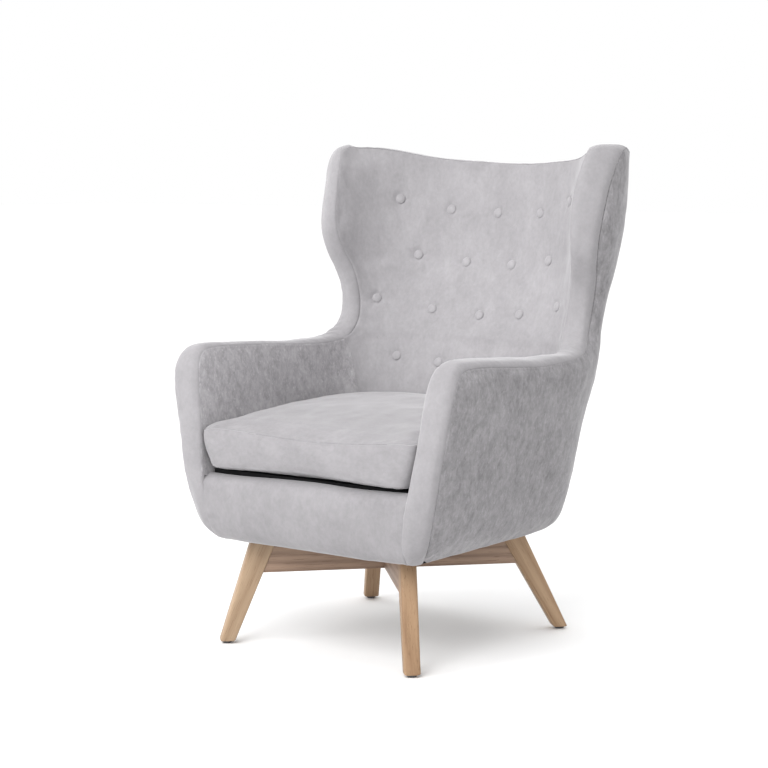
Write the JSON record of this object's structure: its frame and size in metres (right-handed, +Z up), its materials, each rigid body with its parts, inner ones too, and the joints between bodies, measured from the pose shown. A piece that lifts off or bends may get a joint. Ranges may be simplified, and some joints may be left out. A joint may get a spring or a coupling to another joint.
{
  "type": "tub chair",
  "caption": "Upholstered tub chair with flared arms, a buttoned reclined wing back, a loose seat cushion and a crossed wooden base with splayed tapered legs.",
  "frame": {"origin": "on the floor below the middle of the chair's bounding box", "axes": "+Z up, -Y is the way the sitter faces, +X is the sitter's left"},
  "size_m": [0.7476, 0.7674, 1.0167],
  "materials": {
    "oak": "pale washed, satin",
    "beech": "plain",
    "frame_wood": "raw sawn",
    "glide": "matte",
    "steel": "zinc plated",
    "spring_wire": "drawn wire",
    "webbing": "woven",
    "foam": "soft foam",
    "deck_cloth": "plain woven",
    "cover": "brushed microfibre",
    "dust_cloth": "non-woven",
    "twine": "twisted",
    "zip_tape": "woven",
    "zip_metal": "polished"
  },
  "bodies": {
    "chair": {"leg_front_left": "oak", "leg_front_right": "oak", "leg_rear_left": "oak", "leg_rear_right": "oak", "cross_beam_lower": "oak", "cross_beam_upper": "oak", "leg_dowels": "beech", "floor_glides": "glide", "glide_nails": "steel", "base_bolts": "steel", "base_washers": "steel", "base_tee_nuts": "steel", "front_rail": "frame_wood", "rear_rail": "frame_wood", "side_rail_left": "frame_wood", "side_rail_right": "frame_wood", "corner_blocks": "frame_wood", "base_cleats": "frame_wood", "arm_post_left": "frame_wood", "arm_post_right": "frame_wood", "arm_board_left": "frame_wood", "arm_board_right": "frame_wood", "back_post_left": "frame_wood", "back_post_right": "frame_wood", "back_top_rail": "frame_wood", "back_tack_rail": "frame_wood", "wing_board_left": "frame_wood", "wing_board_right": "frame_wood", "wing_stays": "frame_wood", "seat_springs": "spring_wire", "spring_clips": "steel", "back_webbing": "webbing", "deck_pad": "foam", "deck_cloth": "deck_cloth", "arm_pad_left": "foam", "arm_pad_right": "foam", "edge_pad_left": "foam", "edge_pad_right": "foam", "top_edge_pad": "foam", "back_pad": "foam", "front_pad": "foam", "outer_side_cover_left": "cover", "outer_side_cover_right": "cover", "outer_back_cover": "cover", "facing_band_left": "cover", "facing_band_right": "cover", "top_band": "cover", "inner_arm_cover_left": "cover", "inner_arm_cover_right": "cover", "inner_back_cover": "cover", "front_rail_cover": "cover", "dust_cover": "dust_cloth", "back_buttons": "cover", "button_ties": "twine"},
    "seat_cushion": {"cushion_cover": "cover", "cushion_core": "foam", "zip_tape": "zip_tape"},
    "slider": {"zip_slider": "zip_metal"}
  },
  "joints": [
    {"name": "cushion_lift", "type": "slide", "parent": "chair", "child": "seat_cushion", "axis": [0, 0, 1], "range_m": [0, 0.6]},
    {"name": "zip_run", "type": "slide", "parent": "seat_cushion", "child": "slider", "axis": [1, 0, 0], "range_m": [0, 0.25]}
  ]
}
